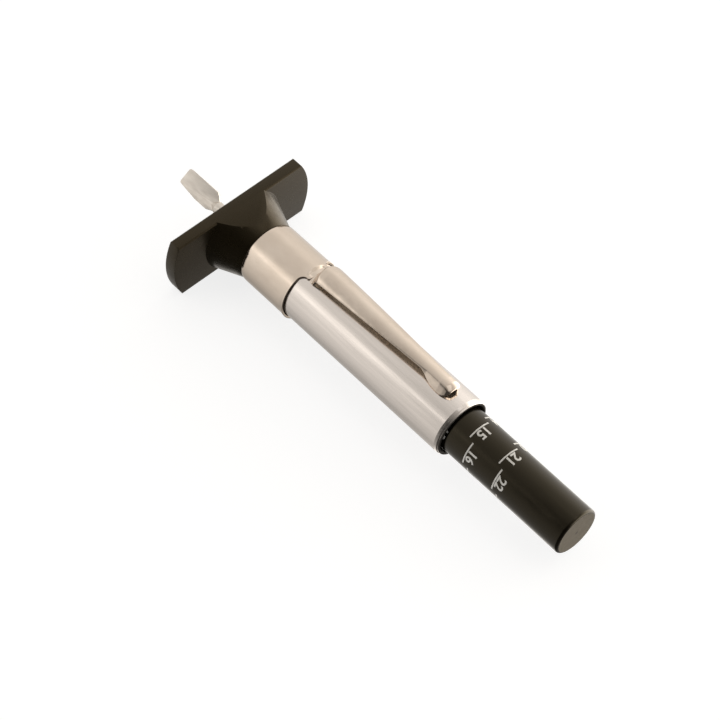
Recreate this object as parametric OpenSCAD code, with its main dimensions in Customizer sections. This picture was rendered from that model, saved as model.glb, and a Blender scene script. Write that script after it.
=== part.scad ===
// Tire tread depth gauge, pencil style: a barrel with a flanged foot, a pocket clip
// and a sliding scale plunger that carries a thin probe out through the foot.
// Millimetres. +X runs from the foot along the barrel, +Z is up, and the origin is
// the centre of the foot's measuring face.

/* [Foot] */
// Overall length of the foot bar along Y, over its bowed ends
foot_length = 27.2; // [20:0.1:40]
// How far each bowed end stands out past its corners
foot_end_bow = 1.35; // [0.3:0.05:2.5]
// Width of the foot bar along Z, which is also the width of the flare between its flats
foot_width = 11.4; // [9:0.1:14]
// Thickness of the foot bar along X
foot_thickness = 2.1; // [1.5:0.1:4]
// Chamfer along the straight edges of the foot bar
foot_chamfer = 0.22; // [0.05:0.01:0.4]
// Radius of the flare where it springs from the bar
flare_base_radius = 7.75; // [6.5:0.05:9]
// Length of the flare from the bar to the barrel's end
flare_length = 5.75; // [3:0.05:10]
// Step from the barrel's outside down to the flare's small end, negative when the flare is larger
flare_step = -0.15; // [-0.3:0.01:0.5]
// Length of the foot's spigot inside the barrel
spigot_length = 10.05; // [5:0.05:12]

/* [Barrel] */
// Length of the barrel
barrel_length = 43.65; // [38:0.05:60]
// Outside radius of the barrel
barrel_radius = 5.0; // [4.6:0.05:6]
// Wall of the barrel
barrel_wall = 0.5; // [0.35:0.05:0.8]
// How far the barrel's mouth is turned in, measured on its inner radius
mouth_turn_in = 0.15; // [0.05:0.01:0.3]
// Length of the turned-in mouth
mouth_length = 0.9; // [0.6:0.05:2]

/* [Plunger] */
// Outside radius of the plunger
plunger_radius = 4.0; // [3.3:0.05:4.15]
// Wall of the plunger
plunger_wall = 1.3; // [0.8:0.1:1.6]
// Thickness of the plunger's closed end
plunger_floor = 2.0; // [1:0.1:4]
// Rounding of the plunger's closed end
plunger_edge_radius = 0.45; // [0.1:0.05:1]
// Length of the plunger behind its guide head
plunger_length = 36.3; // [30:0.1:55]
// Depth shown by the scale at rest, which is also how far the probe stands out
rest_reading = 11.8; // [4:0.1:20]

/* [Guide head and friction ring] */
// Length of the guide head that slides in the barrel
head_length = 6.0; // [4:0.1:6.5]
// Length of the guide head's spigot inside the plunger
head_spigot_length = 6.4; // [3:0.1:10]
// Distance from the head's front face back to the friction ring
ring_setback = 2.6; // [1.5:0.1:3]
// Width of the friction ring
ring_width = 1.1; // [0.6:0.1:1.6]
// Thickness of the friction ring
ring_thickness = 0.5; // [0.3:0.05:0.6]
// Angle left open in the friction ring
ring_gap_angle = 28; // [10:1:90]

/* [Probe] */
// Radius of the probe's wire
probe_wire_radius = 1.0; // [0.7:0.05:1.2]
// Width of the flattened blade on its straight side, from the wire's axis
blade_straight_side = 1.85; // [1.3:0.05:2]
// Width of the flattened blade on its tapered side, from the wire's axis
blade_tapered_side = 1.4; // [1.2:0.05:1.8]
// Thickness of the flattened blade
blade_thickness = 0.7; // [0.4:0.05:1]
// Length of the flattened blade with its neck
blade_length = 8.0; // [5:0.1:9]
// How much the tapered side draws in towards the tip
blade_taper = 0.4; // [0.1:0.05:0.6]
// Turn of the blade about the axis, from +Y towards +Z
blade_turn = 32; // [-90:1:90]
// Wall of the ferrule that holds the wire
ferrule_wall = 0.8; // [0.4:0.1:1]
// Length of the ferrule
ferrule_length = 9.4; // [5:0.1:11]

/* [Clip] */
// Angle of the clip round the barrel, from +Y towards +Z
clip_azimuth = 80; // [60:1:120]
// Thickness of the collar's sheet metal
collar_sheet = 0.35; // [0.2:0.05:0.5]
// Length of the collar along the barrel
collar_length = 9.75; // [6:0.05:14]
// How far the collar's rear rim is belled out from the barrel
collar_lift = 0.12; // [0.05:0.01:0.2]
// Width of the seam left open in the collar
seam_width = 0.5; // [0.2:0.1:2]
// Half width of the tongue between the collar and the arm
tongue_half_width = 2.15; // [1.5:0.05:2.5]
// Length of the tongue
tongue_length = 1.5; // [0.8:0.1:2]
// Thickness of the arm's sheet metal
arm_sheet = 0.4; // [0.3:0.05:0.5]
// Length of the arm from the tongue to the toe's end
arm_length = 29.3; // [24:0.1:32]
// Half width of the arm at the shoulder
arm_root_half_width = 2.4; // [1.8:0.05:2.5]
// Half width of the arm at the toe
arm_tip_half_width = 1.2; // [0.9:0.05:1.4]
// Radius of the arm's rounded crown
crown_radius = 2.9; // [2.7:0.1:4]
// Height of the crown over the barrel at the shoulder
crown_rise = 2.5; // [1.8:0.05:2.6]
// Drop of the crown from the shoulder to the toe, in degrees
arm_slope = 2.0; // [0.5:0.1:2.2]

/* [Stop washer] */
// Thickness of the rubber stop washer
washer_thickness = 1.3; // [0.6:0.1:2]

/* [Fits] */
// Radial running clearance of the guide head in the barrel
head_clearance = 0.05; // [0.02:0.01:0.09]
// Radial running clearance of the friction ring in the barrel
ring_clearance = 0.02; // [0.01:0.01:0.05]
// Clearance round the friction ring in its groove
groove_clearance = 0.08; // [0.05:0.01:0.1]
// Radial clearance of the blade's corners in the foot's bore
probe_clearance = 0.08; // [0.05:0.01:0.3]
// Gap left at the ends of the plunger's travel
end_gap = 0.1; // [0.05:0.01:0.3]
// Gap between the clip's moving arm and what it rests on or springs from
clip_gap = 0.06; // [0.03:0.01:0.1]

/* [Hidden] */
$fn = 96;
eps = 0.01;
far = 40;
barrel_start = foot_thickness + flare_length;
barrel_end = barrel_start + barrel_length;
barrel_bore = barrel_radius - barrel_wall;
mouth_bore = barrel_bore - mouth_turn_in;
flare_tip_radius = barrel_radius - flare_step;
washer_start = barrel_start + spigot_length;
// The head's front face meets the mouth when the reading is zero.
head_front = barrel_end - mouth_length - end_gap - rest_reading;
head_back = head_front - head_length;
head_radius = barrel_bore - head_clearance;
plunger_bore = plunger_radius - plunger_wall;
ring_outer = barrel_bore - ring_clearance;
ring_inner = ring_outer - ring_thickness;
ring_front = head_front - ring_setback;
ring_back = ring_front - ring_width;
groove_floor = ring_inner - groove_clearance;
ferrule_radius = probe_wire_radius + ferrule_wall;
probe_tip = -rest_reading;
blade_neck = 1.5;
blade_corner = 0.4;
blade_end = probe_tip + blade_length;
blade_half = max(blade_straight_side, blade_tapered_side);
blade_reach = sqrt(pow(blade_half, 2) + pow(blade_thickness / 2, 2));
foot_bore = max(blade_reach, probe_wire_radius) + probe_clearance;
washer_outer = barrel_bore - 0.2;
washer_inner = foot_bore + 0.35;
collar_radius = barrel_radius + collar_sheet;
collar_end = barrel_start + collar_length;
tongue_end = collar_end + tongue_length;
arm_start = tongue_end + clip_gap;
arm_end = arm_start + arm_length;
// The arm rests this far from the axis, just clear of the barrel.
arm_floor = barrel_radius + clip_gap;
root_top = arm_floor + collar_sheet;
crown_top = barrel_radius + crown_rise;
crown_axis = crown_top - crown_radius;
edge_height = barrel_radius + 0.85;
shoulder_run = 1.7;
toe_length = 5.4;
rocker_radius = 3.0;
toe_middle = arm_end - toe_length / 2;
toe_low = barrel_radius - 0.42;
toe_foot_half = 2.2;
toe_ridge = barrel_radius + 1.25;

// Turns a body drawn along +Z to lie along +X, starting at x.
module along_x(x) {
    translate([x, 0, 0])
        rotate([0, 90, 0])
            children();
}

// Extrudes a flat shape drawn in Y and Z along +X, starting at x.
module section_x(x, length) {
    translate([x, 0, 0])
        rotate([90, 0, 90])
            linear_extrude(length)
                children();
}

// Extrudes a flat shape drawn in X and Z through a half width each way along Y.
module side_profile(half) {
    translate([0, half, 0])
        rotate([90, 0, 0])
            linear_extrude(2 * half)
                children();
}

// Places what is drawn above the barrel, with +Z outward, at the clip's angle.
module at_clip() {
    rotate([clip_azimuth - 90, 0, 0])
        children();
}

// One half of the foot bar's outline, with its bowed end.
module foot_half() {
    bow_radius = (pow(foot_end_bow, 2) + pow(foot_width / 2, 2)) / (2 * foot_end_bow);
    intersection() {
        translate([0, -foot_width / 2])
            square([foot_length / 2 + eps, foot_width]);
        translate([foot_length / 2 - bow_radius, 0])
            circle(bow_radius);
    }
}

// A rectangle with chamfered corners, from x = 0 to the given length and centred on Y.
module chamfered(length, half, cut) {
    polygon([
        [cut, -half],
        [length - cut, -half],
        [length, -half + cut],
        [length, half - cut],
        [length - cut, half],
        [cut, half],
        [0, half - cut],
        [0, -half + cut]
    ]);
}

// Moulded foot: measuring bar, flare with two flats, and the spigot inside the barrel.
module foot() {
    color([0.06, 0.055, 0.05])
        difference() {
            union() {
                intersection() {
                    section_x(0, foot_thickness)
                        union() {
                            foot_half();
                            mirror([1, 0]) foot_half();
                        }
                    side_profile(foot_length)
                        chamfered(foot_thickness, foot_width / 2, foot_chamfer);
                }
                intersection() {
                    along_x(foot_thickness / 2)
                        cylinder(
                            h = foot_thickness / 2 + flare_length,
                            r1 = flare_base_radius,
                            r2 = flare_tip_radius
                        );
                    translate([0, -far, -foot_width / 2])
                        cube([far, 2 * far, foot_width]);
                }
                along_x(barrel_start - eps)
                    cylinder(h = spigot_length + eps, r = barrel_bore);
            }
            along_x(-1)
                cylinder(h = washer_start + 2, r = foot_bore);
        }
}

// Aluminium tube with a turned-in mouth.
module barrel() {
    rim = barrel_wall / 2;
    color([0.78, 0.77, 0.75])
        along_x(barrel_start)
            rotate_extrude()
                union() {
                    translate([barrel_bore, 0])
                        square([barrel_wall, barrel_length - mouth_length]);
                    polygon([
                        [barrel_bore, barrel_length - mouth_length],
                        [barrel_radius, barrel_length - mouth_length],
                        [barrel_radius - mouth_turn_in / 3, barrel_length - mouth_length / 2],
                        [mouth_bore + barrel_wall, barrel_length - rim],
                        [mouth_bore, barrel_length - rim],
                        [mouth_bore, barrel_length - mouth_length]
                    ]);
                    translate([mouth_bore + rim, barrel_length - rim])
                        circle(rim);
                }
}

// Rubber washer that stops the guide head at full depth.
module stop_washer() {
    color([0.05, 0.05, 0.05])
        along_x(washer_start)
            difference() {
                cylinder(h = washer_thickness, r = washer_outer);
                translate([0, 0, -1])
                    cylinder(h = washer_thickness + 2, r = washer_inner);
            }
}

// Plan of the tongue, with a hollow corner on each side where it leaves the collar.
module tongue_plan() {
    corner = 0.9 * tongue_length;
    lap = 0.08;
    union() {
        translate([-1, -tongue_half_width])
            square([tongue_length + 2, 2 * tongue_half_width]);
        for (side = [-1, 1])
            difference() {
                translate([-1, side * (tongue_half_width + corner / 2) - corner / 2 - lap / 2])
                    square([1 + corner - lap, corner + lap]);
                translate([corner - lap, side * (tongue_half_width + corner)])
                    circle(corner);
            }
    }
}

// Everything past the collar's end except the tongue.
module past_collar() {
    translate([collar_end, 0, 0])
        union() {
            linear_extrude(far)
                difference() {
                    translate([0, -far])
                        square([far, 2 * far]);
                    tongue_plan();
                }
            translate([0, -far, -far])
                cube([far, 2 * far, far]);
        }
}

// Rolled sheet collar that grips the barrel, with its open seam and the clip's tongue.
module clip_collar() {
    rim_cut = 0.1;
    bell_length = 0.5;
    valley_radius = 0.75;
    valley_depth = 0.17;
    valley_height = collar_radius + collar_lift + valley_radius - valley_depth;
    full_length = collar_length + tongue_length;
    color([0.80, 0.76, 0.70])
        difference() {
            along_x(barrel_start)
                rotate_extrude()
                    polygon([
                        [barrel_radius, 0],
                        [collar_radius - rim_cut, 0],
                        [collar_radius, rim_cut],
                        [collar_radius, collar_length - 2 * bell_length],
                        [collar_radius + collar_lift, collar_length - bell_length],
                        [collar_radius + collar_lift, full_length],
                        [barrel_radius + collar_lift, full_length],
                        [barrel_radius + collar_lift, collar_length - bell_length],
                        [barrel_radius, collar_length - 2 * bell_length]
                    ]);
            at_clip()
                past_collar();
            at_clip()
                translate([barrel_start - 1, -seam_width / 2, -far])
                    cube([collar_length + 2, seam_width, far]);
            at_clip()
                translate([collar_end + tongue_length / 2, -far, valley_height])
                    rotate([-90, 0, 0])
                        cylinder(h = 2 * far, r = valley_radius);
        }
}

// Side view of the arm: the root, the shoulder and the crown's underside limit.
module arm_side() {
    polygon([
        [arm_start, arm_floor - 1],
        [arm_start, root_top],
        [arm_start + 0.25, root_top + 0.06],
        [arm_start + shoulder_run / 2, crown_top - 0.75],
        [arm_start + 0.78 * shoulder_run, crown_top - 0.22],
        [arm_start + 1.15 * shoulder_run, crown_top + 0.2],
        [arm_end - 0.75, crown_top + 0.2],
        [arm_end - 0.05, toe_ridge - 0.35],
        [arm_end, arm_floor - 1]
    ]);
}

// Plan of the arm: a long taper from the shoulder to the toe.
module arm_plan(inset) {
    polygon([
        [arm_start - far, tongue_half_width - inset],
        [arm_start + 0.4, tongue_half_width - inset],
        [arm_start + 1.1, arm_root_half_width - inset],
        [arm_start + 3.5, arm_root_half_width - inset],
        [toe_middle, arm_tip_half_width - inset],
        [arm_end + far, arm_tip_half_width - inset],
        [arm_end + far, inset - arm_tip_half_width],
        [toe_middle, inset - arm_tip_half_width],
        [arm_start + 3.5, inset - arm_root_half_width],
        [arm_start + 1.1, inset - arm_root_half_width],
        [arm_start + 0.4, inset - tongue_half_width],
        [arm_start - far, inset - tongue_half_width]
    ]);
}

// The rounded crown as a long rod that slopes towards the toe.
module crown_rod(inset) {
    translate([arm_start, 0, crown_axis])
        rotate([0, 90 + arm_slope, 0])
            translate([0, 0, -2])
                cylinder(h = arm_length + 4, r = crown_radius - inset);
}

// The arm as a solid, shrunk all round by an inset.
module arm_block(inset) {
    intersection() {
        linear_extrude(far)
            arm_plan(inset);
        crown_rod(inset);
    }
}

// The arm's long shell with its closed shoulder.
module arm_shell() {
    intersection() {
        difference() {
            arm_block(0);
            intersection() {
                arm_block(arm_sheet);
                translate([arm_sheet * 1.3, 0, 0])
                    side_profile(far)
                        arm_side();
            }
        }
        side_profile(far)
            arm_side();
        union() {
            translate([arm_start - 1, -far, edge_height])
                cube([arm_length + 2, 2 * far, far]);
            translate([arm_start - 1, -far, 0])
                cube([shoulder_run * 0.8 + 1, 2 * far, far]);
        }
    }
}

// Cross-section of the toe, with flanks that spread towards the barrel.
module toe_section(inset) {
    polygon([
        [-toe_foot_half + inset, toe_low - 0.4],
        [toe_foot_half - inset, toe_low - 0.4],
        [arm_tip_half_width - inset, toe_ridge],
        [arm_tip_half_width - inset - 0.25, toe_ridge + 0.12 - inset],
        [inset + 0.25 - arm_tip_half_width, toe_ridge + 0.12 - inset],
        [inset - arm_tip_half_width, toe_ridge]
    ]);
}

// Rocker shape that rounds the toe from the side.
module toe_rocker(inset) {
    translate([toe_middle, far, toe_low + rocker_radius])
        rotate([90, 0, 0])
            cylinder(h = 2 * far, r = rocker_radius - inset);
}

// Rounded toe that rests on the barrel.
module toe() {
    difference() {
        intersection() {
            section_x(toe_middle - far / 2, far)
                toe_section(0);
            toe_rocker(0);
        }
        intersection() {
            section_x(toe_middle - far / 2, far)
                toe_section(arm_sheet);
            union() {
                toe_rocker(arm_sheet);
                translate([toe_middle - far, -far, 0])
                    cube([far, 2 * far, far]);
            }
        }
    }
}

// Sprung arm of the pocket clip.
module pocket_clip() {
    color([0.82, 0.78, 0.71])
        at_clip()
            difference() {
                union() {
                    arm_shell();
                    toe();
                }
                along_x(0)
                    cylinder(h = arm_end + 2, r = arm_floor);
            }
}

// Moulded plunger: a tube with a closed, rounded end.
module scale_plunger() {
    color([0.05, 0.045, 0.04])
        along_x(head_front)
            difference() {
                rotate_extrude()
                    union() {
                        square([plunger_radius, plunger_length - plunger_edge_radius]);
                        square([plunger_radius - plunger_edge_radius, plunger_length]);
                        translate([
                            plunger_radius - plunger_edge_radius,
                            plunger_length - plunger_edge_radius
                        ])
                            circle(plunger_edge_radius);
                    }
                translate([0, 0, -1])
                    cylinder(h = plunger_length - plunger_floor + 1, r = plunger_bore);
            }
}

// Nylon head that guides the plunger in the barrel and holds the ferrule.
module guide_head() {
    color([0.85, 0.84, 0.80])
        along_x(head_back)
            difference() {
                union() {
                    cylinder(h = head_length, r = head_radius);
                    cylinder(h = head_length + head_spigot_length, r = plunger_bore);
                }
                translate([0, 0, -1])
                    cylinder(h = head_length + head_spigot_length + 2, r = ferrule_radius);
                translate([0, 0, ring_back - head_back - groove_clearance])
                    difference() {
                        cylinder(h = ring_width + 2 * groove_clearance, r = head_radius + 1);
                        translate([0, 0, -1])
                            cylinder(h = ring_width + 3, r = groove_floor);
                    }
            }
}

// Split spring ring that presses on the barrel's bore and holds a reading.
module friction_ring() {
    color([0.62, 0.61, 0.58])
        along_x(ring_back)
            rotate([0, 0, ring_gap_angle / 2])
                rotate_extrude(angle = 360 - ring_gap_angle)
                    translate([ring_inner, 0])
                        square([ring_thickness, ring_width]);
}

// Brass ferrule crimped on the wire and pressed into the guide head.
module probe_ferrule() {
    color([0.75, 0.60, 0.30])
        along_x(head_back)
            difference() {
                cylinder(h = ferrule_length, r = ferrule_radius);
                translate([0, 0, -1])
                    cylinder(h = ferrule_length + 2, r = probe_wire_radius);
            }
}

// Outline of the flattened blade, from its tip to the neck where the wire begins.
module blade_outline() {
    tip_low = blade_taper - blade_tapered_side;
    tip_high = blade_straight_side - 0.05;
    neck_start = blade_end - blade_neck;
    union() {
        polygon([
            [probe_tip, tip_low + blade_corner],
            [probe_tip + blade_corner, tip_low],
            [probe_tip + blade_length / 2, -blade_tapered_side],
            [neck_start, -blade_tapered_side],
            [blade_end - blade_neck / 2, -blade_tapered_side * 0.78],
            [blade_end, -probe_wire_radius * 0.8],
            [blade_end, probe_wire_radius * 0.8],
            [blade_end - blade_neck / 2, blade_straight_side * 0.78],
            [neck_start, blade_straight_side],
            [probe_tip + blade_length / 2, blade_straight_side],
            [probe_tip + blade_corner, tip_high],
            [probe_tip, tip_high - blade_corner]
        ]);
        translate([probe_tip + blade_corner, tip_low + blade_corner])
            circle(blade_corner);
        translate([probe_tip + blade_corner, tip_high - blade_corner])
            circle(blade_corner);
    }
}

// Steel probe: a wire whose outer end is flattened to a blade.
module probe() {
    color([0.70, 0.69, 0.66])
        union() {
            rotate([blade_turn, 0, 0])
                translate([0, 0, -blade_thickness / 2])
                    linear_extrude(blade_thickness)
                        blade_outline();
            along_x(blade_end - 1.1)
                cylinder(h = 1.1, r1 = blade_thickness / 2, r2 = probe_wire_radius);
            along_x(blade_end - eps)
                cylinder(h = head_back + ferrule_length - blade_end + eps, r = probe_wire_radius);
        }
}

foot();
barrel();
stop_washer();
clip_collar();
pocket_clip();
scale_plunger();
guide_head();
friction_ring();
probe_ferrule();
probe();
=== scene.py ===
# %% [markdown]
# # Pencil-style tire tread gauge
# This lesson dresses a small measuring tool: a metal barrel with a black moulded
# foot at one end, a spring clip along its side, and a black plunger with a white
# millimetre scale that slides in and out. The engineering model gives the bodies
# and their places; here they get their finer shapes, finishes, light and camera.

# %% Load the frame
import math

import bmesh
import bpy
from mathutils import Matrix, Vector


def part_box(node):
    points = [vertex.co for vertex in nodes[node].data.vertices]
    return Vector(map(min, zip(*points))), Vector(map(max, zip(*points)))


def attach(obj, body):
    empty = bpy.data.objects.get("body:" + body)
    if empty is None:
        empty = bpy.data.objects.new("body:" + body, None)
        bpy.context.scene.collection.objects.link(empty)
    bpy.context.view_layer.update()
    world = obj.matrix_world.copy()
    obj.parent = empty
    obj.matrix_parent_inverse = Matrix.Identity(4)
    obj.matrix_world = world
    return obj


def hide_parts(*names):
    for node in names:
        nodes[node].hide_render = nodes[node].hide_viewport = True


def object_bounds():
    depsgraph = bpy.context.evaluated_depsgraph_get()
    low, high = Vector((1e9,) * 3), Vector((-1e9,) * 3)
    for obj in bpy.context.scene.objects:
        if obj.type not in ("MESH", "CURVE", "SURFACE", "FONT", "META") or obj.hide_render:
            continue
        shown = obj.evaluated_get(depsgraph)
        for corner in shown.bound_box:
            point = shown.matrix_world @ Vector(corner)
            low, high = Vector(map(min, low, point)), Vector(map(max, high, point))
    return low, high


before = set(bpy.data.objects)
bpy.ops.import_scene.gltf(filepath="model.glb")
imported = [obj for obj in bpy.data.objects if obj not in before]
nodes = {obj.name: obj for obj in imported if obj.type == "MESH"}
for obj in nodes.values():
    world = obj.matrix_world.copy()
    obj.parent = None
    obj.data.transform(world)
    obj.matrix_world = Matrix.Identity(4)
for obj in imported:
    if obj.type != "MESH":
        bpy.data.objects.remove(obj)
cad_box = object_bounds()
MM = 0.001
print("nodes:", sorted(nodes))

# %% [markdown]
# ## Small helpers
# Operators act on whatever is selected, so each step starts from a clean
# selection. `new_mat` starts a node material and hands back its main shader, and
# `grain` adds the fine variation that keeps a surface from looking computed.

# %% Selection and material helpers
# Nearly all of a noise pattern lies between these two values.
NOISE_LOW, NOISE_HIGH = 0.3, 0.7


def only(*objs):
    """Selects these objects alone and makes the first one active."""
    bpy.ops.object.select_all(action="DESELECT")
    for o in objs:
        o.select_set(True)
    if objs:
        bpy.context.view_layer.objects.active = objs[0]


def new_mat(name, colour, metal, rough):
    """A node material with its Principled shader's plain numbers set."""
    mat = bpy.data.materials.new(name)
    mat.use_nodes = True
    bsdf = mat.node_tree.nodes["Principled BSDF"]
    bsdf.inputs["Base Color"].default_value = (*colour, 1)
    bsdf.inputs["Metallic"].default_value = metal
    bsdf.inputs["Roughness"].default_value = rough
    return mat, bsdf


def coords(mat, stretch=(1, 1, 1)):
    """Object coordinates, stretched so that a pattern can run along the tool."""
    tree = mat.node_tree
    where = tree.nodes.new("ShaderNodeTexCoord")
    turn = tree.nodes.new("ShaderNodeMapping")
    turn.inputs["Scale"].default_value = stretch
    tree.links.new(where.outputs["Object"], turn.inputs["Vector"])
    return turn.outputs["Vector"]


def noise(mat, vector, scale):
    """A noise pattern; scale is in features per metre."""
    node = mat.node_tree.nodes.new("ShaderNodeTexNoise")
    node.inputs["Scale"].default_value = scale
    node.inputs["Detail"].default_value = 3.0
    node.inputs["Roughness"].default_value = 0.55
    mat.node_tree.links.new(vector, node.inputs["Vector"])
    return node.outputs["Fac"]


def spread(mat, value, low, high, socket):
    """Maps a noise pattern to a range and feeds it to a shader socket."""
    node = mat.node_tree.nodes.new("ShaderNodeMapRange")
    node.inputs["From Min"].default_value = NOISE_LOW
    node.inputs["From Max"].default_value = NOISE_HIGH
    node.inputs["To Min"].default_value = low
    node.inputs["To Max"].default_value = high
    mat.node_tree.links.new(value, node.inputs["Value"])
    mat.node_tree.links.new(node.outputs["Result"], socket)


def tint(mat, value, dark, light, socket, from_low=NOISE_LOW, from_high=NOISE_HIGH):
    """Varies a colour between two tones by a pattern."""
    node = mat.node_tree.nodes.new("ShaderNodeValToRGB")
    node.color_ramp.elements[0].position = from_low
    node.color_ramp.elements[0].color = (*dark, 1)
    node.color_ramp.elements[1].position = from_high
    node.color_ramp.elements[1].color = (*light, 1)
    mat.node_tree.links.new(value, node.inputs["Fac"])
    mat.node_tree.links.new(node.outputs["Color"], socket)


def bump(mat, bsdf, value, depth, strength):
    """Pushes the shading normal by a pattern; depth is in metres."""
    node = mat.node_tree.nodes.new("ShaderNodeBump")
    node.inputs["Distance"].default_value = depth
    node.inputs["Strength"].default_value = strength
    mat.node_tree.links.new(value, node.inputs["Height"])
    mat.node_tree.links.new(node.outputs["Normal"], bsdf.inputs["Normal"])


def grain(mat, bsdf, stretch, tones, gloss, relief=None):
    """Noise in colour, roughness and height; each set starts with its features per metre."""
    at = coords(mat, stretch)
    scale, dark, light = tones
    tint(mat, noise(mat, at, scale), dark, light, bsdf.inputs["Base Color"])
    scale, low, high = gloss
    spread(mat, noise(mat, at, scale), low, high, bsdf.inputs["Roughness"])
    if relief:
        scale, depth, strength = relief
        bump(mat, bsdf, noise(mat, at, scale), depth, strength)


def dress(obj, mat):
    """Gives an object one material in every slot."""
    if not obj.material_slots:
        obj.data.materials.append(mat)
    for s in obj.material_slots:
        s.material = mat


# %% [markdown]
# ## Finishes
# Each finish is a Principled shader with a little noise in its colour, its
# roughness and, where it shows, its height. Drawn tube shows fine lines along its
# length, so its noise is squeezed along X; moulded plastic shows a soft, even grain.

# %% Moulded black plastic of the foot
foot_mat, b = new_mat("foot_moulded_black", (0.006, 0.0045, 0.002), 0.0, 0.30)
b.inputs["Specular Tint"].default_value = (1.0, 0.80, 0.52, 1)
grain(foot_mat, b, (1, 1, 1),
      tones=(260, (0.005, 0.0036, 0.0016), (0.009, 0.0066, 0.003)),
      gloss=(900, 0.24, 0.36),
      relief=(5200, 0.000012, 0.5))

# %% Satin drawn aluminium of the barrel
barrel_mat, b = new_mat("barrel_satin_aluminium", (0.82, 0.76, 0.715), 1.0, 0.20)
grain(barrel_mat, b, (0.04, 1, 1),
      tones=(1500, (0.785, 0.73, 0.685), (0.85, 0.79, 0.745)),
      gloss=(2600, 0.16, 0.24),
      relief=(6000, 0.000006, 0.4))

# %% Bright nickel plate of the collar and the clip
nickel_mat, b = new_mat("nickel_plate", (0.695, 0.60, 0.51), 1.0, 0.15)
grain(nickel_mat, b, (0.5, 1, 1),
      tones=(320, (0.66, 0.565, 0.475), (0.735, 0.64, 0.55)),
      gloss=(1400, 0.10, 0.19),
      relief=(520, 0.00003, 0.45))

# %% Smooth black plastic of the plunger
plunger_mat, b = new_mat("plunger_black", (0.004, 0.003, 0.002), 0.0, 0.26)
b.inputs["Specular Tint"].default_value = (1.0, 0.86, 0.60, 1)
grain(plunger_mat, b, (0.3, 1, 1),
      tones=(420, (0.0016, 0.0012, 0.0007), (0.0034, 0.0026, 0.0016)),
      gloss=(1300, 0.16, 0.24),
      relief=(4200, 0.000008, 0.4))

# %% Matt end face of the plunger, with the mark of the mould's gate in its middle; its light brown tone is painted reflection of the pale floor on black plastic
# The end tone is painted reflection: the matt roughness is the face's own, but its light brown
# colour stands in for the floor it would mirror.
end_reflection_tone, gate_tone = (0.125, 0.105, 0.074), (0.045, 0.037, 0.026)
gate_inner, gate_outer = 0.2, 0.34  # radii in millimetres between which the mark fades
end_mat, b = new_mat("plunger_end_matt_painted_reflection", end_reflection_tone, 0.0, 0.55)
at = coords(end_mat)
from_middle = end_mat.node_tree.nodes.new("ShaderNodeVectorMath")
from_middle.operation = "DISTANCE"
from_middle.inputs[1].default_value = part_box("scale_plunger")[1] * Vector((1, 0, 0))
end_mat.node_tree.links.new(at, from_middle.inputs[0])
in_mm = end_mat.node_tree.nodes.new("ShaderNodeMath")
in_mm.operation = "MULTIPLY"
in_mm.inputs[1].default_value = 1 / MM
end_mat.node_tree.links.new(from_middle.outputs["Value"], in_mm.inputs[0])
tint(end_mat, in_mm.outputs["Value"], gate_tone, end_reflection_tone, b.inputs["Base Color"],
     gate_inner, gate_outer)
spread(end_mat, noise(end_mat, at, 1500), 0.48, 0.62, b.inputs["Roughness"])
bump(end_mat, b, noise(end_mat, at, 3800), 0.00001, 0.5)

# %% Inner side of the clip: duller, and darker as painted shade under the arm
underside_shade_mat, b = new_mat("clip_underside_painted_shade", (0.26, 0.22, 0.17), 1.0, 0.42)
grain(underside_shade_mat, b, (0.3, 1, 1),
      tones=(700, (0.20, 0.165, 0.125), (0.30, 0.26, 0.205)),
      gloss=(1900, 0.34, 0.5),
      relief=(2600, 0.00001, 0.4))

# %% Painted shade inside the barrel's mouth: a near-black finish on its inner lip, where shade falls
mouth_shade_mat, b = new_mat("barrel_mouth_painted_shade", (0.015, 0.012, 0.009), 0.0, 0.68)
grain(mouth_shade_mat, b, (0.3, 1, 1),
      tones=(900, (0.012, 0.009, 0.007), (0.018, 0.015, 0.011)),
      gloss=(1500, 0.62, 0.74))

# %% White ink of the scale
ink_mat, b = new_mat("scale_white_ink", (0.80, 0.79, 0.75), 0.0, 0.5)
grain(ink_mat, b, (1, 1, 1),
      tones=(3500, (0.66, 0.64, 0.60), (0.84, 0.83, 0.79)),
      gloss=(2400, 0.4, 0.6))

# %% Coined steel of the probe
probe_mat, b = new_mat("probe_plated_steel", (0.74, 0.69, 0.63), 1.0, 0.33)
grain(probe_mat, b, (0.25, 1, 1),
      tones=(900, (0.68, 0.63, 0.57), (0.78, 0.73, 0.67)),
      gloss=(2200, 0.36, 0.50),
      relief=(3000, 0.00001, 0.4))

# %% Finishes of the hidden pieces
nylon_mat, b = new_mat("head_natural_nylon", (0.80, 0.78, 0.72), 0.0, 0.45)
grain(nylon_mat, b, (1, 1, 1),
      tones=(500, (0.74, 0.72, 0.66), (0.83, 0.81, 0.75)),
      gloss=(1500, 0.38, 0.52),
      relief=(4000, 0.00001, 0.4))

brass_mat, b = new_mat("ferrule_brass", (0.78, 0.58, 0.28), 1.0, 0.3)
grain(brass_mat, b, (3, 1, 1),
      tones=(900, (0.70, 0.50, 0.22), (0.82, 0.62, 0.32)),
      gloss=(2500, 0.22, 0.4))

spring_mat, b = new_mat("ring_spring_steel", (0.60, 0.59, 0.57), 1.0, 0.3)
grain(spring_mat, b, (3, 1, 1),
      tones=(1200, (0.54, 0.53, 0.51), (0.64, 0.63, 0.61)),
      gloss=(2500, 0.24, 0.38))

rubber_mat, b = new_mat("washer_rubber", (0.02, 0.02, 0.02), 0.0, 0.7)
grain(rubber_mat, b, (1, 1, 1),
      tones=(800, (0.014, 0.014, 0.014), (0.028, 0.027, 0.026)),
      gloss=(1800, 0.6, 0.8),
      relief=(3500, 0.00003, 0.5))

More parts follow.
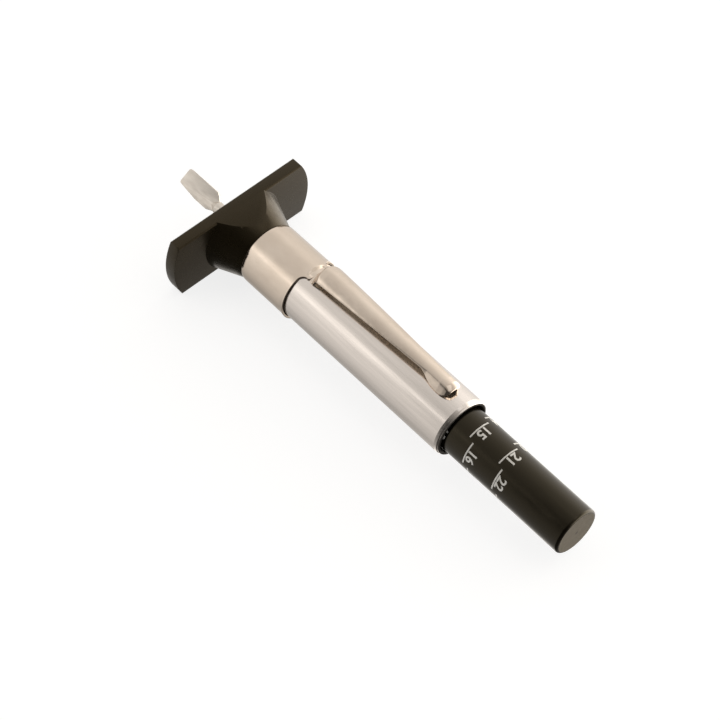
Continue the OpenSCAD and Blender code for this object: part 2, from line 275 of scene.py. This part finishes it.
# %% Put the finishes on the engineering model's own pieces
for name, mat in {
    "foot": foot_mat,
    "barrel": barrel_mat,
    "stop_washer": rubber_mat,
    "clip_collar": nickel_mat,
    "pocket_clip": nickel_mat,
    "scale_plunger": plunger_mat,
    "guide_head": nylon_mat,
    "friction_ring": spring_mat,
    "probe_ferrule": brass_mat,
    "probe": probe_mat,
}.items():
    dress(nodes[name], mat)


# %% Second finishes: the plunger's end face, with painted reflection, and the inner lip of the barrel's mouth, with painted shade
def second_finish(node, mat, chosen):
    """Gives a second finish to those faces of a node that pass a test."""
    mesh = nodes[node].data
    mesh.materials.append(mat)
    faces = [p for p in mesh.polygons if chosen(p)]
    for p in faces:
        p.material_index = len(mesh.materials) - 1
    print(mat.name, "on", len(faces), "faces")


plunger_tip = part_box("scale_plunger")[1].x
second_finish("scale_plunger", end_mat,
              lambda p: p.normal.x > 0.99 and p.center.x > plunger_tip - 0.01 * MM)

barrel_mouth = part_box("barrel")[1].x
lip_depth, lip_radius = 1.0 * MM, 4.78 * MM
# Painted shade: the inner lip of the mouth is given a near-black finish.
second_finish("barrel", mouth_shade_mat,
              lambda p: p.center.x > barrel_mouth - lip_depth
              and math.hypot(p.center.y, p.center.z) < lip_radius)

# %% [markdown]
# ## The clip's arm
# On the real tool the arm is one pressed strip of spring sheet: a narrow tongue
# leaves the collar, steps up into a rounded crown, runs back along the barrel and
# ends in a toe whose two sides are folded down round the barrel. Lofting it from
# sections would work too; here a flat grid is the blank, and a few short profiles
# press it into shape, which keeps the flow of the faces along the strip. Solidify
# then gives it its sheet thickness, with the inner side as a second finish: duller, and darker
# as painted shade under the arm.

# %% Press a blank into shape and give it its thickness
barrel_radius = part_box("barrel")[1].z / MM


def press_blank(name, columns, rows, shape):
    """A grid pressed by a shape function, in millimetres, with its outer side outward."""
    bpy.ops.object.select_all(action="DESELECT")
    bpy.ops.mesh.primitive_grid_add(
        x_subdivisions=columns, y_subdivisions=rows, size=1, location=(0, 0, 0))
    piece = bpy.context.object
    piece.name = name
    for v in piece.data.vertices:
        v.co = Vector(shape(v.co.x + 0.5, -2 * v.co.y)) * MM
    piece.data.update()
    outward = sum(p.normal.y * p.center.y + p.normal.z * p.center.z for p in piece.data.polygons)
    if outward < 0:
        piece.data.flip_normals()
    return piece


def thicken(piece, thickness, clearance, even=False):
    """Adds the sheet's thickness inward, never nearer the barrel than the clearance, in mm."""
    only(piece)
    sheet = piece.modifiers.new("sheet", "SOLIDIFY")
    sheet.thickness = thickness * MM
    sheet.offset = -1
    sheet.use_even_offset = even
    sheet.material_offset = len(piece.data.materials) - 1
    bpy.ops.object.modifier_apply(modifier="sheet")
    nearest = barrel_radius + clearance
    pushed = 0
    for v in piece.data.vertices:
        r = math.hypot(v.co.y, v.co.z) / MM
        if r < nearest:
            v.co.y *= nearest / r
            v.co.z *= nearest / r
            pushed += 1
    finer = piece.modifiers.new("finer", "SUBSURF")
    finer.levels = finer.render_levels = 1
    bpy.ops.object.modifier_apply(modifier="finer")
    bpy.ops.object.shade_smooth()
    print(piece.name, len(piece.data.polygons), "faces;", pushed, "points laid on the barrel")


def profile(points, x):
    """The value of a profile at x, straight between its points."""
    if x <= points[0][0]:
        return points[0][1]
    for (x0, v0), (x1, v1) in zip(points, points[1:]):
        if x <= x1:
            return v0 + (v1 - v0) * (x - x0) / (x1 - x0)
    return points[-1][1]


def smooth(f):
    """Eases a fraction from 0 to 1 with a level start and end."""
    f = min(max(f, 0.0), 1.0)
    return f * f * (3 - 2 * f)


# %% Profiles along the arm, in millimetres
root_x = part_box("pocket_clip")[0].x / MM
end_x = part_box("pocket_clip")[1].x / MM
root_top = 5.34
clip_turn = math.radians(80)
crown_round = 2.9
crown_line = [(20.5, 7.34), (21.4, 7.40), (30, 7.10), (40, 6.76), (46.3, 6.55),
              (47.4, 6.47), (47.9, 6.38), (48.3, 6.22), (48.5, 6.08)]
half_width = [(19.1, 2.12), (20.2, 2.30), (21.2, 2.36), (30, 1.94), (42.4, 1.27),
              (43.4, 1.20), (48.0, 1.22), (48.3, 1.08), (48.5, 0.84)]
fold_depth = [(19.1, 0.10), (20.2, 0.14), (21.2, 0.22), (42.4, 0.26), (43.2, 0.62),
              (44.0, 1.10), (45.0, 1.52), (46.2, 1.68), (47.1, 1.60), (47.6, 1.38),
              (48.0, 1.00), (48.3, 0.52), (48.5, 0.14)]
fold_lean = [(19.1, 40), (21.2, 26), (42.4, 22), (48.5, 24)]

# %% Press one point of the arm
step_end, toe_start = 21.8, 42.3
step_share, toe_share = 0.24, 0.5  # shares of the rows at which the step ends and the toe starts
crown_share = 0.68  # share of the half width that is crown; the rest is folded down
edge_crowding = 1.25
step_gap, step_bow, step_length = 0.03, 0.10, 1.15


def station(u):
    """Where a row of the blank lies along the arm; rows are closer at the step and the toe."""
    if u < step_share:
        return root_x + (step_end - root_x) * u / step_share
    if u < toe_share:
        return step_end + (toe_start - step_end) * (u - step_share) / (toe_share - step_share)
    return toe_start + (end_x - toe_start) * (u - toe_share) / (1 - toe_share)


def press_arm(u, v):
    """A point of the arm; u runs from 0 to 1 along it, and v from -1 to 1 across it."""
    x = station(u)
    on_crown = min(abs(v) / crown_share, 1.0)
    t = profile(half_width, x) * (1 - (1 - on_crown) ** edge_crowding)
    crown = profile(crown_line, x) - crown_round + math.sqrt(crown_round ** 2 - t ** 2)
    flush = math.sqrt(root_top ** 2 - t ** 2)
    step_start = root_x + step_gap + step_bow * t ** 2
    up = flush + (crown - flush) * smooth((x - step_start) / step_length)
    if abs(v) > crown_share:
        down = profile(fold_depth, x) * (abs(v) - crown_share) / (1 - crown_share)
        lean = math.radians(profile(fold_lean, x))
        t += down * math.sin(lean)
        up -= down * math.cos(lean)
    if v < 0:
        t = -t
    return (
        x,
        up * math.cos(clip_turn) - t * math.sin(clip_turn),
        up * math.sin(clip_turn) + t * math.cos(clip_turn),
    )


# %% Make the arm
clip_arm = press_blank("clip_arm", 84, 26, press_arm)
clip_arm.data.materials.append(nickel_mat)
# The second slot is the inner side, darkened as painted shade.
clip_arm.data.materials.append(underside_shade_mat)
thicken(clip_arm, thickness=0.36, clearance=0.05, even=True)
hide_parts("pocket_clip")
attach(clip_arm, "clip")

# %% [markdown]
# ## The collar
# The collar is the same sheet as the arm, rolled round the barrel until its two
# edges nearly meet underneath, with its rear rim belled out a little. A tube with a
# hole cut in it would need clean-up round the tongue, so the collar is a second
# blank: its rear edge follows the outline of rim, fillet and tongue, and its rows
# follow that edge, so the belled rim and the pressed groove stay smooth.

# %% Outline and profile of the collar, in millimetres
collar_low, collar_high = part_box("clip_collar")
band_radius = 5.35
band_start, band_rim, tongue_end = collar_low.x / MM, 17.6, collar_high.x / MM
seam_half = 0.25
reach = math.pi * band_radius - seam_half
tongue_half, tongue_taper, fillet = 2.15, 0.12, 1.25
rear_share, fillet_share, side_share = 0.55, 0.78, 0.85
front_spread = [(0, reach), (rear_share, 4.7), (fillet_share, 2.9), (side_share, 2.3), (1, 0)]
rim_crowding = 1.7
rim_bell, rim_bell_length = 0.11, 0.9
bell_share, bell_fade = 0.42, 0.22
front_tuck, front_tuck_length = 0.09, 0.3
groove_depth, groove_start, groove_bow, groove_wall = 0.2, 18.05, 0.09, 0.22
groove_half, groove_fade = 1.75, 0.4

# %% Roll one point of the collar
def rear_edge(v):
    """The blank's rear edge on one side: distance round from the tongue's middle, and x."""
    corner_t = tongue_half + fillet
    if v < rear_share:
        return reach + (corner_t - reach) * v / rear_share, band_rim
    if v < fillet_share:
        a = (v - rear_share) / (fillet_share - rear_share) * math.pi / 2
        return corner_t - fillet * math.sin(a), band_rim + fillet * (1 - math.cos(a))
    if v < side_share:
        f = (v - fillet_share) / (side_share - fillet_share)
        x = band_rim + fillet + (tongue_end - band_rim - fillet) * f
        return tongue_half - tongue_taper * f ** 2, x
    return (tongue_half - tongue_taper) * (1 - v) / (1 - side_share), tongue_end


def roll_collar(u, v):
    """A point of the collar; u runs from 0 to 1 along it, and v from -1 to 1 round it."""
    inward = 1 - abs(v)
    s = 1 - (1 - u) ** rim_crowding
    edge_t, edge_x = rear_edge(inward)
    x = band_start + (edge_x - band_start) * s
    front_t = profile(front_spread, inward)
    t = front_t + (edge_t - front_t) * s
    belled = 1 - smooth((inward - bell_share) / bell_fade)
    r = band_radius + rim_bell * belled * smooth(1 - (edge_x - x) / rim_bell_length)
    r -= front_tuck * (1 - smooth((x - band_start) / front_tuck_length))
    in_groove = smooth((x - groove_start - groove_bow * t ** 2) / groove_wall)
    in_groove *= smooth((groove_half - abs(t)) / groove_fade)
    r -= groove_depth * in_groove
    turned = clip_turn + (t if v >= 0 else -t) / band_radius
    return x, r * math.cos(turned), r * math.sin(turned)


# %% Make the collar
collar_band = press_blank("collar_band", 30, 120, roll_collar)
collar_band.data.materials.append(nickel_mat)
thicken(collar_band, thickness=0.33, clearance=0.01)
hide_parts("clip_collar")
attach(collar_band, "body")

# %% [markdown]
# ## Soft edges on the foot and the probe
# Moulded and pressed edges are never knife sharp, and the thin highlight that runs
# along them is what makes them look real. The engineering shapes are right, so each
# of the two is a merged copy of its node whose flat faces are joined first, and
# whose sharp edges are then rounded by a small bevel.

# %% Round the edges of a copy
weld = 0.002 * MM
flat_angle, sharp_angle, smooth_angle = (math.radians(a) for a in (1, 32, 28))


def soft_copy(node, name, width, body, mat):
    """Replaces a node by a copy with its sharp edges rounded; width in millimetres."""
    only(nodes[node])
    bpy.ops.object.duplicate()
    piece = bpy.context.object
    piece.name = name
    only(piece)
    bpy.ops.object.mode_set(mode="EDIT")
    bpy.ops.mesh.select_all(action="SELECT")
    bpy.ops.mesh.remove_doubles(threshold=weld)
    bpy.ops.mesh.dissolve_limited(angle_limit=flat_angle)
    bpy.ops.object.mode_set(mode="OBJECT")
    edge = piece.modifiers.new("edge", "BEVEL")
    edge.width = width * MM
    edge.segments = 3
    edge.limit_method = "ANGLE"
    edge.angle_limit = sharp_angle
    edge.use_clamp_overlap = True
    edge.miter_outer = "MITER_ARC"
    bpy.ops.object.modifier_apply(modifier="edge")
    bpy.ops.object.shade_smooth_by_angle(angle=smooth_angle)
    dress(piece, mat)
    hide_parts(node)
    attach(piece, body)
    print(name, len(piece.data.polygons), "faces")


soft_copy("foot", "foot_moulding", 0.16, "body", foot_mat)
soft_copy("probe", "probe_blade", 0.06, "plunger", probe_mat)

# %% [markdown]
# ## The printed scale
# The scale is a millimetre scale wound round the plunger: each number sits 60
# degrees further round than the last, so that neighbours don't collide. A number
# and its line are drawn flat, as ink of a real thickness, and every point is then
# rolled on to the plunger's cylinder.

# %% Sizes of the print
plunger_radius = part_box("scale_plunger")[1].z
rest_reading = -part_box("probe")[0].x
zero_x = barrel_mouth - rest_reading
last_number, top_number = 25, 15
number_step = 60
ink_height, ink_sunk = 0.012 * MM, 0.02 * MM
line_arc, line_width, line_cuts = math.radians(55), 0.24 * MM, 15
digit_size, digit_gap, digit_swell = 2.2 * MM, 0.14 * MM, 0.05 * MM
strip_width, strips_each_side = 0.22 * MM, 9
print("zero line at x = %.2f mm, radius %.2f mm" % (zero_x / MM, plunger_radius / MM))


def roll_on(obj, x, number):
    """Lays a flat drawing on the plunger: its X runs round it, its Y along it, its Z outward."""
    start = math.radians(90 + number_step * (number - top_number))
    rise = (ink_height - ink_sunk) / 2
    for v in obj.data.vertices:
        turn = start + v.co.x / plunger_radius
        r = plunger_radius + v.co.z + rise
        v.co = (x + v.co.y, r * math.cos(turn), r * math.sin(turn))


def print_on(pieces, name):
    """Joins drawings into one piece of ink that rides on the plunger."""
    only(*pieces)
    bpy.ops.object.join()
    ink = bpy.context.object
    ink.name = name
    dress(ink, ink_mat)
    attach(ink, "plunger")
    print(name, len(ink.data.polygons), "faces")


# %% Draw the lines
lines = []
line_length = line_arc * plunger_radius
for k in range(last_number + 1):
    bpy.ops.mesh.primitive_cube_add(size=1, location=(0, 0, 0))
    line = bpy.context.object
    only(line)
    bpy.ops.transform.resize(value=(line_length, line_width, ink_height + ink_sunk))
    bpy.ops.object.transform_apply(location=False, rotation=False, scale=True)
    bm = bmesh.new()
    bm.from_mesh(line.data)
    long_edges = [
        e for e in bm.edges if abs((e.verts[0].co - e.verts[1].co).x) > line_length / 2
    ]
    bmesh.ops.subdivide_edges(bm, edges=long_edges, cuts=line_cuts)
    bm.to_mesh(line.data)
    bm.free()
    roll_on(line, zero_x + k * MM, k)
    lines.append(line)
print_on(lines, "scale_lines")

# %% [markdown]
# Text turned into a mesh has long flat faces, which would cut across the curve of
# the plunger. So each number is first cut into narrow strips; the two clean-ups
# take away the specks that the font and the cuts leave.

# %% Draw the numbers
same_point, speck = 1e-7, 1e-6
numbers = []
for k in range(last_number + 1):
    bpy.ops.object.text_add(location=(0, 0, 0))
    label = bpy.context.object
    label.data.body = str(k)
    label.data.size = digit_size
    label.data.align_x = "CENTER"
    label.data.extrude = (ink_height + ink_sunk) / 2
    label.data.resolution_u = 3
    label.data.offset = digit_swell
    only(label)
    bpy.ops.object.convert(target="MESH")
    label = bpy.context.object
    bm = bmesh.new()
    bm.from_mesh(label.data)
    bmesh.ops.remove_doubles(bm, verts=bm.verts, dist=same_point)
    bmesh.ops.dissolve_degenerate(bm, edges=bm.edges, dist=speck)
    for strip in range(-strips_each_side, strips_each_side + 1):
        cut = (strip * strip_width, 0, 0)
        geom = bm.verts[:] + bm.edges[:] + bm.faces[:]
        bmesh.ops.bisect_plane(bm, geom=geom, plane_co=cut, plane_no=(1, 0, 0))
    bmesh.ops.dissolve_degenerate(bm, edges=bm.edges, dist=speck)
    bmesh.ops.recalc_face_normals(bm, faces=bm.faces)
    bm.to_mesh(label.data)
    bm.free()
    roll_on(label, zero_x + k * MM + line_width / 2 + digit_gap, k)
    numbers.append(label)
print_on(numbers, "scale_numbers")

# %% [markdown]
# ## Floor, light and camera
# A small shiny tool shows the room it stands in, so most of its light comes from
# a pale room and only a little from a lamp. The floor is a plain white sheet. It is
# kept out of mirror-like reflections, so that the metal keeps the darker edge that
# tells the eye it is round.

# %% Floor
floor_z = cad_box[0].z
bpy.ops.mesh.primitive_plane_add(size=6, location=(0.04, 0, floor_z))
floor = bpy.context.object
floor.name = "floor"
floor.visible_glossy = False
floor_mat, b = new_mat("floor_white", (0.30, 0.30, 0.30), 0.0, 0.9)
b.inputs["Emission Color"].default_value = (1, 1, 1, 1)
b.inputs["Emission Strength"].default_value = 0.82
dress(floor, floor_mat)

# %% [markdown]
# The room is a world shader. What a long round tool shows is the room unrolled:
# each line along it mirrors one angle round its axis. So the room is graded by
# that angle, from -180 to 180 degrees, with 0 towards +Y and 90 straight up. It is
# drawn as three such rings: one for the foot's end, one with a darker side for the
# plunger's end, and one for what is seen by faces that look back along the tool.
# They fade into each other along X.

# %% World: a pale room, graded round the tool
world = bpy.data.worlds.new("studio")
bpy.context.scene.world = world
world.use_nodes = True
tree = world.node_tree
back = tree.nodes["Background"]
look = tree.nodes.new("ShaderNodeTexCoord")
split = tree.nodes.new("ShaderNodeSeparateXYZ")
tree.links.new(look.outputs["Generated"], split.inputs["Vector"])
around = tree.nodes.new("ShaderNodeMath")
around.operation = "ARCTAN2"
tree.links.new(split.outputs["Z"], around.inputs[0])
tree.links.new(split.outputs["Y"], around.inputs[1])
turn = tree.nodes.new("ShaderNodeMapRange")
turn.inputs["From Min"].default_value = -math.pi
turn.inputs["From Max"].default_value = math.pi
tree.links.new(around.outputs["Value"], turn.inputs["Value"])


def ring(stops, warm):
    """A brightness for each angle round the tool; warm scales its green and its blue."""
    node = tree.nodes.new("ShaderNodeValToRGB")
    while len(node.color_ramp.elements) < len(stops):
        node.color_ramp.elements.new(0.5)
    for stop, (angle, level) in zip(node.color_ramp.elements, stops):
        stop.position = (angle + 180) / 360
        stop.color = (level, level * warm[0], level * warm[1], 1)
    tree.links.new(turn.outputs["Result"], node.inputs["Fac"])
    return node.outputs["Color"]


def fade_rings(first, second, x_from, x_to):
    """One ring fading into another between two values of the direction's X."""
    fade = tree.nodes.new("ShaderNodeMapRange")
    fade.interpolation_type = "SMOOTHSTEP"
    fade.inputs["From Min"].default_value = x_from
    fade.inputs["From Max"].default_value = x_to
    tree.links.new(split.outputs["X"], fade.inputs["Value"])
    mix = tree.nodes.new("ShaderNodeMix")
    mix.data_type = "RGBA"
    colour_a, colour_b = [i for i in mix.inputs if i.type == "RGBA"]
    tree.links.new(fade.outputs["Result"], mix.inputs[0])
    tree.links.new(first, colour_a)
    tree.links.new(second, colour_b)
    return [o for o in mix.outputs if o.type == "RGBA"][0]


# %% The three rings
foot_end = ring([
    (-180, 0.86), (-160, 0.75), (-130, 0.56), (-108, 0.41), (-80, 0.50), (-40, 0.80),
    (7, 0.97), (36, 1.02), (61, 0.84), (103, 0.78), (116, 0.80), (125, 0.95),
    (134, 1.28), (141, 1.40), (149, 1.10), (160, 1.00), (180, 0.86),
], (0.965, 0.92))
plunger_end = ring([
    (-180, 0.44), (-150, 0.50), (-123, 0.46), (-100, 0.80), (-80, 1.50), (-50, 1.50),
    (-25, 1.15), (-4, 1.30), (22, 1.40), (45, 1.05), (64, 0.78), (82, 0.54),
    (99, 0.38), (116, 0.22), (133, 0.10), (150, 0.05), (168, 0.28), (180, 0.44),
], (0.965, 0.92))
behind = ring([
    (-180, 0.06), (-120, 0.06), (-95, 0.15), (-72, 0.40), (-58, 0.62), (-45, 1.50),
    (-20, 3.00), (10, 3.40), (28, 2.00), (45, 0.85), (75, 0.45), (100, 0.26),
    (120, 0.12), (140, 0.05), (180, 0.06),
], (0.95, 0.88))
front_rings = fade_rings(foot_end, plunger_end, -0.372, -0.335)
all_rings = fade_rings(front_rings, behind, -0.27, -0.18)
tree.links.new(all_rings, back.inputs["Color"])
back.inputs["Strength"].default_value = 1.0

# %% A weak soft box overhead, for the shadow under the tool
box_at, box_aim = Vector((0.10, 0.18, 0.55)), Vector((0.032, 0, 0))
box_size, radiance = (0.35, 0.25), 0.5
box_data = bpy.data.lights.new("overhead", "AREA")
box_data.shape = "RECTANGLE"
box_data.size, box_data.size_y = box_size
box_data.energy = radiance * math.pi * box_size[0] * box_size[1]
soft_box = bpy.data.objects.new("overhead", box_data)
bpy.context.collection.objects.link(soft_box)
soft_box.location = box_at
soft_box.rotation_euler = (box_aim - box_at).to_track_quat("-Z", "Y").to_euler()

# %% Camera
cam_data = bpy.data.cameras.new("camera")
cam = bpy.data.objects.new("camera", cam_data)
bpy.context.collection.objects.link(cam)
cam_data.sensor_width = 36
cam_data.lens = 120.9
cam_data.clip_start = 0.01
cam_data.clip_end = 20
cam.location = (0.18102, -0.14620, 0.29571)
cam.rotation_euler = tuple(math.radians(v) for v in (34.910, -1.136, 47.677))
bpy.context.scene.camera = cam
bpy.context.scene.view_settings.view_transform = "Standard"
